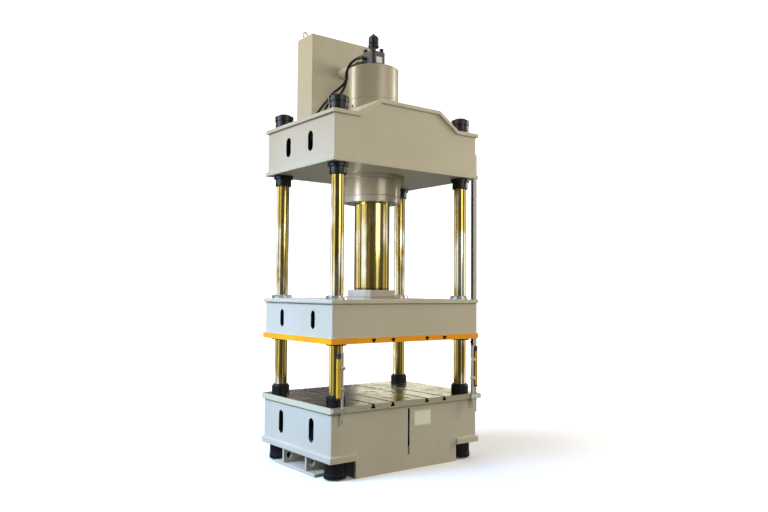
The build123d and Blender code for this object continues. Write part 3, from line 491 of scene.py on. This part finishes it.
# Ram: a chromed rod with a piston in the cylinder, its foot bolted to the slide by a flange on a seat.
# The rod carries the same amber oil as the columns, in broader streaks, and dark brown is painted round its
# foot and along the seams of the flange and seat.
FLANGE_STEEL = (0.54, 0.48, 0.37)
FLANGE_OILED = (0.40, 0.33, 0.22)
FLANGE_BRIGHT = (0.80, 0.78, 0.70)
DECK_TOP, ROD_SEAT, ROD_FOOT = 1.699, 1.720, 1.794
flange = Look("milled_flange", Metallic=0.15)
flange_round = flange.rounded(0.004)
flange_lines = flange.noise(1.0, 3.0, (90.0, 90.0, 6.0))
flange_oil = flange.noise(7.0, 4.0).band(0.5, 0.7)
flange_colour = flange.mix(flange_oil * 0.5, FLANGE_STEEL, FLANGE_OILED)
flange_colour = flange.mix(flange.edge(flange_round), flange_colour, FLANGE_BRIGHT)
flange_height = flange.axis("Z", flange.place)
flange_joint = flange_height.within(ROD_SEAT - 0.003, ROD_SEAT + 0.003, 0.001)
# Dark brown is painted along the flange's joint with the seat and along the seat's foot on the deck.
flange_seam = flange_joint.most(flange_height.band(DECK_TOP + 0.004, DECK_TOP + 0.002))
flange.set(Base_Color=flange.mix(flange_seam * 0.8, flange_colour, TABLE_OIL),
           Roughness=0.24 + 0.2 * flange_lines)
flange.bump(flange_lines, 0.0001, Normal=flange_round)
dress(flange, "rod_seat", "rod_flange")
dress(steel, "piston")
dress(black, "rod_flange_bolts")
ram = Look("oiled_rod", Metallic=1.0)
ram_streak = ram.noise(1.0, 4.0, (20.0, 20.0, 0.5))
ram_patch = ram.noise(1.0, 4.0, (5.0, 5.0, 1.4))
ram_oil = ram.mix(ram_streak.band(0.36, 0.66), OIL_GOLD, OIL_BROWN)
# Dark brown is painted round the rod's foot.
ram_foot_dark = ram.axis("Z", ram.place).band(ROD_FOOT + 0.030, ROD_FOOT + 0.018)
ram_colour = ram.mix(ram_patch.band(0.50, 0.68) * 0.8, ram_oil, CHROME)
ram.set(Base_Color=ram.mix(ram_foot_dark * 0.85, ram_colour, TABLE_OIL),
        Roughness=0.06 + 0.10 * ram_streak + 0.03 * ram.noise(80.0, 3.0))
ram.bump(ram_streak, 0.0004)
dress(ram, "piston_rod")

# Ejector: a small cylinder bolted under the table, whose rod pushes the finished part out of the die.
# The cylinder is enamelled, the rod's head is milled flush with the table.
dress(enamel, "ejector_cylinder")
dress(black, "ejector_bolts")
dress(table, "ejector_rod")

# Filling tank: folded and welded sheet on two channel bearers behind the cylinder, with two lifting eyes.
# Sheet and bearers have the frame's enamel, the eyes are plated.
dress(enamel, "filling_tank", "tank_bearers")
dress(steel, "tank_eyes")

# Valve block: a ground steel manifold on the drum's lid, held by four cap screws, with a blank tag, a relief
# valve and a pilot valve. The block is phosphated dark grey, the screws and the valves are black.
BLOCK_COLOURS = (0.085, 0.085, 0.088), (0.16, 0.16, 0.16)
TAG_COLOURS = (0.82, 0.82, 0.80), (0.70, 0.70, 0.69)
block = grained("phosphated_block", BLOCK_COLOURS, 0.40, 0.0001, (60.0, 5.0), edge=0.002, Metallic=0.6)
dress(block, "valve_block")
dress(black, "block_screws", "pressure_valve", "pilot_valve")
tag = grained("blank_tag", TAG_COLOURS, 0.35, 0.00004, (120.0, 3.0), Metallic=0.0)
dress(tag, "block_tag")

# Filling pipe and hoses: an enamelled pipe from the tank, and two rubber pressure hoses down to the crown.
# Each hose is crimped in a ribbed, dark passivated ferrule at both ends and screwed on a round fitting.
FITTING_COLOURS = (0.16, 0.145, 0.11), (0.09, 0.085, 0.075)
HOSE_BLACK = (0.008, 0.008, 0.009)
HOSE_DUST = (0.035, 0.032, 0.027)
HOSE_RADIUS = 0.015
HOSES = {
    "hose_rear": (1.240, [(-0.1504, 0.0674, 4.2766), (-0.1530, 0.2090, 4.2870), (-0.1028, 0.3221, 4.2170),
                          (-0.1277, 0.4050, 4.1060), (-0.2520, 0.4400, 3.9990), (-0.3610, 0.3560, 3.8870),
                          (-0.5430, 0.1838, 3.7610), (-0.6567, 0.2213, 3.5691)]),
    "hose_front": (1.443, [(-0.1485, 0.0422, 4.3333), (-0.1401, 0.1699, 4.3520), (-0.1350, 0.3350, 4.2670),
                           (-0.0570, 0.4370, 4.1390), (-0.1332, 0.4970, 3.9810), (-0.3672, 0.3789, 3.8370),
                           (-0.4979, 0.2032, 3.6970), (-0.6827, 0.1271, 3.5626)]),
}
FERRULE_BORE, FERRULE_COLLAR = 0.0155, 0.0200
FERRULE_GROOVE, FERRULE_RIB = 0.0184, 0.0196
FERRULE_SEGMENTS = 28
ferrule_profile = [(0.0, FERRULE_BORE), (0.0, FERRULE_COLLAR), (0.008, FERRULE_COLLAR)]
for start in (0.010, 0.027):
    ferrule_profile += [(start, FERRULE_GROOVE), (start + 0.007, FERRULE_GROOVE),
                        (start + 0.009, FERRULE_RIB), (start + 0.015, FERRULE_RIB)]
ferrule_profile += [(0.044, FERRULE_GROOVE), (0.051, FERRULE_GROOVE), (0.053, 0.0192), (0.058, 0.0188),
                    (0.060, FERRULE_BORE)]
dress(enamel, "filling_pipe")
fitting = grained("passivated_steel", FITTING_COLOURS, 0.28, 0.0001, (30.0, 4.0), edge=0.002, Metallic=0.9)
dress(fitting, "hose_fittings")
hose_look = Look("hose_rubber", Specular_IOR_Level=0.25)
hose_grain = hose_look.noise(1.0, 3.0, (180.0, 180.0, 60.0))
hose_dust = hose_look.noise(14.0, 4.0).band(0.5, 0.75)
hose_look.set(Base_Color=hose_look.mix(hose_dust * 0.4, HOSE_BLACK, HOSE_DUST),
              Roughness=0.36 + 0.2 * hose_grain + 0.1 * hose_dust)
hose_look.bump(hose_grain, 0.0002)


def ferrule(name, line):
    """A sleeve that follows the first points of a hose's own line."""
    verts, faces = [], []
    travelled, index = 0.0, 0
    for along, radius in ferrule_profile:
        while travelled + (line[index + 1] - line[index]).length < along:
            travelled += (line[index + 1] - line[index]).length
            index += 1
        heading = (line[index + 1] - line[index]).normalized()
        at = line[index] + heading * (along - travelled)
        across = heading.cross(Vector((0, 0, 1))).normalized()
        other = heading.cross(across)
        for i in range(FERRULE_SEGMENTS):
            angle = 2 * math.pi * i / FERRULE_SEGMENTS
            verts.append(at + (across * math.cos(angle) + other * math.sin(angle)) * radius)
    for ring in range(len(ferrule_profile)):
        here, there = ring * FERRULE_SEGMENTS, (ring + 1) % len(ferrule_profile) * FERRULE_SEGMENTS
        for i in range(FERRULE_SEGMENTS):
            j = (i + 1) % FERRULE_SEGMENTS
            faces.append((here + i, here + j, there + j, there + i))
    return piece(name, "frame", fitting, "bright_steel", verts, faces, False)


for name, (length, route) in HOSES.items():
    curve = bpy.data.curves.new(name + "_rubber", "CURVE")
    curve.dimensions = "3D"
    spline = curve.splines.new("NURBS")
    spline.points.add(len(route) - 1)
    for point, at in zip(spline.points, route):
        point.co = (*at, 1.0)
    spline.order_u = 3
    spline.use_endpoint_u = True
    spline.resolution_u = 16
    rubber_hose = bpy.data.objects.new(name + "_rubber", curve)
    bpy.context.scene.collection.objects.link(rubber_hose)
    bare = bpy.data.meshes.new_from_object(rubber_hose)
    line = [vert.co.copy() for vert in bare.vertices]
    curve.bevel_depth = HOSE_RADIUS
    curve.bevel_resolution = 6
    curve.use_fill_caps = True
    curve.materials.append(hose_look.material)
    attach(rubber_hose, "frame")
    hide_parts(name)
    ends = [ferrule(name + "_ferrule_top", line), ferrule(name + "_ferrule_foot", line[::-1])]

# Light curtains: extruded aluminium bars, powder coated yellow with black end caps, clamped to bright rods
# on the table's edge. On dark acrylic strips in each bar, rows of lenses look across the opening.
YELLOW = (0.70, 0.40, 0.025)
YELLOW_DEEP = (0.60, 0.33, 0.02)
CAP_BLACK = (0.035, 0.033, 0.03)
ACRYLIC_DARK = (0.030, 0.012, 0.008)
ACRYLIC_RED = (0.055, 0.030, 0.012)
BAR_CAPS = (0.786, 1.146)
CAP_LINE = 0.001
STRIP_FACE, STRIP_BACK, STRIP_Y, STRIP_HALF = 0.8649, 0.8663, -0.696, 0.0094
STRIP_BEVEL = 0.0006
STRIP_RUNS = ((0.799, 0.845), (0.877, 1.042), (1.074, 1.169))
LENS, LENS_PITCH = 0.0055, 0.015
LENS_DOME = [(1.0, 0.0), (0.9, 0.05), (0.6, 0.1), (0.1, 0.13)]
LENS_SEGMENTS = 18
yellow = Look("yellow_coat", Coat_Weight=0.1)
yellow_grain = yellow.noise(260.0, 2.0)
yellow_height = yellow.axis("Z", yellow.place)
yellow_cap_low = yellow_height.band(BAR_CAPS[0] + CAP_LINE, BAR_CAPS[0])
yellow_cap = yellow_cap_low.most(yellow_height.band(BAR_CAPS[1], BAR_CAPS[1] + CAP_LINE))
yellow_colour = yellow.mix(yellow.noise(6.0, 3.0), YELLOW, YELLOW_DEEP)
yellow.set(Base_Color=yellow.mix(yellow_cap, yellow_colour, CAP_BLACK), Roughness=0.34 + 0.16 * yellow_grain)
yellow.bump(yellow_grain, 0.00008, Normal=yellow.rounded(0.002))
dress(yellow, "guard_bar_left", "guard_bar_right")
dress(steel, "guard_rod_left", "guard_rod_right", "guard_bracket_left", "guard_bracket_right", "guard_clamps")
acrylic = Look("dark_acrylic", Coat_Weight=0.6, Coat_Roughness=0.03)
acrylic_cloud = acrylic.noise(20.0, 3.0)
acrylic.set(Base_Color=acrylic.mix(acrylic_cloud, ACRYLIC_DARK, ACRYLIC_RED),
            Roughness=0.10 + 0.15 * acrylic_cloud)
dome = lathe([(LENS * radius, LENS * height) for radius, height in LENS_DOME], LENS_SEGMENTS)
for side, name in ((-1, "left"), (1, "right")):
    strip_verts, strip_faces, lens_places = [], [], []
    for low, high in STRIP_RUNS:
        start = len(strip_verts)
        for x, inset in ((STRIP_BACK, 0.0), (STRIP_FACE + STRIP_BEVEL, 0.0), (STRIP_FACE, STRIP_BEVEL)):
            near, far = STRIP_Y - (STRIP_HALF - inset), STRIP_Y + (STRIP_HALF - inset)
            corners = ((near, low + inset), (far, low + inset), (far, high - inset), (near, high - inset))
            strip_verts += [Vector((side * x, y, z)) for y, z in corners]
        skin = [(3, 2, 1, 0), (8, 9, 10, 11)] + band_of_four(0, 4) + band_of_four(4, 8)
        strip_faces += [tuple(start + index for index in face[::-side]) for face in skin]
        count = int((high - low) / LENS_PITCH)
        for i in range(count):
            spot = (side * STRIP_FACE, STRIP_Y, (low + high) / 2 + (i - (count - 1) / 2) * LENS_PITCH)
            lens_places.append(Matrix.Translation(spot) @ Matrix.Rotation(-side * math.pi / 2, 4, "Y"))
    lens_verts, lens_faces = copies(dome, lens_places)
    start = len(strip_verts)
    piece("lens_strip_" + name, "frame", acrylic, "switch_plastic", strip_verts + lens_verts,
          strip_faces + [tuple(start + index for index in face) for face in lens_faces], False)

# Switch post: a painted channel bracketed to the bed and the crown on the right, opening towards the slide.
# A black proximity switch in it watches the platen's edge.
POST_GREY = (0.50, 0.48, 0.43)
POST_SHADE = (0.42, 0.40, 0.36)
SWITCH_COLOURS = (0.02, 0.02, 0.022), (0.04, 0.04, 0.042)
post = Look("post_grey", Coat_Weight=0.1)
post_round = post.rounded(0.002)
post_cloud = post.noise(4.0, 4.0)
post_chip = post.edge(post_round) * post.noise(50.0, 4.0).band(0.55, 0.65)
post.set(Base_Color=post.mix(post_chip, post.mix(post_cloud, POST_GREY, POST_SHADE), PRIMER),
         Roughness=0.34 + 0.2 * post_cloud)
post.bump(post.noise(40.0, 3.0), 0.0001, Normal=post_round)
dress(post, "switch_post", "post_brackets")
plastic = grained("switch_plastic", SWITCH_COLOURS, 0.45, 0.00006, (300.0, 3.0), Metallic=0.0)
dress(plastic, "proximity_switch")

# Studio: a pale floor that sweeps up into a white wall all round, with a warm key and cool skylight from
# the left, a warm fill from the front and a rim light from the right. Strips of light give the bars, table,
# drum and cylinder their highlights. The camera stands a little higher than the slide's deck.
BARS = ("column_front_left", "column_front_right", "column_rear_left", "column_rear_right", "piston_rod",
        "guard_rod_left", "guard_rod_right", "guard_bracket_left", "guard_bracket_right", "guard_clamps")
BARS_AND_TABLE = BARS + ("bed_table", "ejector_rod")
TANK = ("filling_tank", "filling_pipe")
DRUM = ("cylinder_head_drum", "cylinder_lock_nut")
GLAND = ("main_cylinder", "cylinder_gland")
FRONT_PLACE, FRONT_TARGET = (0.5, -10.0, 5.2), (0.0, 0.0, 2.8)
SKY_COLOUR = (0.86, 0.90, 0.95)
SKY_STRENGTH = 0.18
PAPER_WHITE = (0.90, 0.90, 0.90)
PAPER_SHADE = (0.87, 0.87, 0.87)
GLOW_NEAR = (0.06, 0.06, 0.06)
GLOW_FAR = (0.88, 0.88, 0.88)
SWEEP = [(0.05, 0.0), (9.0, 0.0), (10.4, 0.2), (11.4, 0.8), (11.9, 1.8), (12.0, 3.0), (12.0, 18.0)]
SWEEP_SEGMENTS = 96
CAMERA_PLACE = (-4.677, -6.380, 1.779)
CAMERA_YAW, CAMERA_PITCH, CAMERA_ROLL = 0.6493, 0.0487, 0.0072
CAMERA_LENS, CAMERA_SENSOR = 34.13, 36.0


def light(name, place, target, size, power, colour, state=None, nodes=(), spread=180.0):
    """A soft area light, which can be kept to some nodes of the press or kept off them."""
    lamp = bpy.data.lights.new(name, "AREA")
    lamp.shape = "RECTANGLE"
    lamp.size, lamp.size_y = size
    lamp.energy = power
    lamp.color = colour
    lamp.spread = math.radians(spread)
    holder = bpy.data.objects.new(name, lamp)
    turn = (Vector(target) - Vector(place)).to_track_quat("-Z", "Y")
    holder.matrix_world = Matrix.Translation(place) @ turn.to_matrix().to_4x4()
    holder.visible_camera = False
    bpy.context.scene.collection.objects.link(holder)
    if state:
        reached = bpy.data.collections.new(name + "_reach")
        for node in nodes:
            reached.objects.link(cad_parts[node])
        for member in reached.collection_objects:
            member.light_linking.link_state = state
        holder.light_linking.receiver_collection = reached


light("key_left", (-7.5, 2.0, 7.5), (0.0, 0.0, 2.8), (8.5, 7.0), 780.0, (1.0, 0.97, 0.93), "EXCLUDE", DRUM)
light("strip_drum", (-5.0, 5.4, 5.5), (0.0, 0.0, 4.0), (2.2, 3.0), 390.0, (1.0, 0.95, 0.86), "INCLUDE", DRUM)
light("sky_left", (-7.0, 1.5, 4.8), (-0.9, 0.0, 0.4), (4.0, 2.0), 122.0, (0.25, 0.48, 1.0),
      "EXCLUDE", BARS_AND_TABLE + DRUM, 52.0)
light("sky_edge", (-6.0, 0.0, 0.5), (-0.95, 0.0, 0.66), (2.0, 0.3), 42.0, (0.34, 0.62, 1.0),
      "INCLUDE", ("bed_table",), 60.0)
light("fill_front", FRONT_PLACE, FRONT_TARGET, (5.0, 5.0), 350.0, (1.0, 0.95, 0.82), "EXCLUDE", TANK)
light("fill_tank", FRONT_PLACE, FRONT_TARGET, (5.0, 5.0), 200.0, (1.0, 0.95, 0.82), "INCLUDE", TANK)
light("fill_rear", (2.0, 9.5, 6.5), (0.0, 0.0, 2.4), (5.0, 4.0), 260.0, (1.0, 0.97, 0.92))
light("rim_right", (8.0, -2.6, 4.2), (0.0, 0.0, 3.4), (1.6, 5.0), 500.0, (1.0, 0.96, 0.88),
      "EXCLUDE", BARS_AND_TABLE)
light("top_soft", (0.0, 0.0, 9.0), (0.0, 0.0, 0.0), (6.0, 6.0), 90.0, (1.0, 1.0, 1.0))
light("strip_left", (-8.0, 0.0, 2.0), (0.0, 0.0, 2.0), (5.0, 5.0), 95.0, (0.97, 0.98, 1.0), "INCLUDE", BARS)
light("strip_gland", (-8.0, 1.0, 2.2), (0.0, 0.0, 2.8), (3.0, 4.0), 420.0, (0.97, 0.98, 1.0),
      "INCLUDE", GLAND)
light("strip_far", (-4.8, 6.4, 2.2), (0.0, 0.0, 2.2), (6.0, 5.0), 160.0, (1.0, 0.99, 0.96), "INCLUDE", BARS)
light("strip_front", (0.0, -8.5, 2.0), (0.0, 0.0, 2.0), (2.0, 5.0), 36.0, (1.0, 0.97, 0.90), "INCLUDE", BARS)
light("fill_drum", (-7.0, -5.0, 3.0), (0.0, 0.0, 4.0), (5.0, 5.0), 130.0, (1.0, 0.95, 0.84), "INCLUDE", DRUM)
light("strip_right", (7.1, -3.7, 2.0), (0.0, 0.0, 2.0), (6.0, 5.0), 110.0, (1.0, 0.96, 0.86), "INCLUDE", BARS)
light("strip_behind", (6.35, 5.65, 1.9), (0.0, 0.0, 1.0), (4.3, 1.8), 35.0, (1.0, 0.97, 0.72),
      "INCLUDE", BARS_AND_TABLE)

world = bpy.data.worlds.new("studio")
world.use_nodes = True
world.node_tree.nodes["Background"].inputs["Color"].default_value = (*SKY_COLOUR, 1.0)
world.node_tree.nodes["Background"].inputs["Strength"].default_value = SKY_STRENGTH
bpy.context.scene.world = world
bpy.context.scene.view_settings.view_transform = "Standard"

paper = Look("studio_paper", Emission_Strength=1.0)
paper_floor = {0: paper.place, 1: (1.0, 1.0, 0.0)}
paper_flat = paper.node("ShaderNodeVectorMath", {"operation": "MULTIPLY"}, paper_floor)
paper_far = paper.node("ShaderNodeVectorMath", {"operation": "LENGTH"}, {0: paper_flat}, "Value")
paper.set(Base_Color=paper.mix(paper.noise(3.0, 3.0), PAPER_WHITE, PAPER_SHADE), Roughness=0.9,
          Emission_Color=paper.mix(paper_far.band(1.5, 8.5), GLOW_NEAR, GLOW_FAR))
sweep_verts, sweep_faces = lathe(SWEEP, SWEEP_SEGMENTS)
sweep_mesh = bpy.data.meshes.new("studio_sweep")
sweep_mesh.from_pydata([tuple(vert) for vert in sweep_verts], [], sweep_faces[:-2])
sweep_mesh.polygons.foreach_set("use_smooth", [True] * len(sweep_mesh.polygons))
sweep_mesh.materials.append(paper.material)
sweep = bpy.data.objects.new("studio_sweep", sweep_mesh)
sweep.visible_diffuse = False
sweep.visible_glossy = False
sweep.visible_shadow = False
bpy.context.scene.collection.objects.link(sweep)

heading = Vector((math.sin(CAMERA_YAW), math.cos(CAMERA_YAW), 0.0))
forward = heading * math.cos(CAMERA_PITCH) + Vector((0.0, 0.0, math.sin(CAMERA_PITCH)))
level = Vector((math.cos(CAMERA_YAW), -math.sin(CAMERA_YAW), 0.0))
right = level * math.cos(CAMERA_ROLL) + level.cross(forward) * math.sin(CAMERA_ROLL)
upright = right.cross(forward)
lens = bpy.data.cameras.new("photo_camera")
lens.sensor_width = CAMERA_SENSOR
lens.lens = CAMERA_LENS
camera = bpy.data.objects.new("photo_camera", lens)
camera_turn = Matrix((right, upright, -forward)).transposed().to_4x4()
camera.matrix_world = Matrix.Translation(CAMERA_PLACE) @ camera_turn
bpy.context.scene.collection.objects.link(camera)
bpy.context.scene.camera = camera
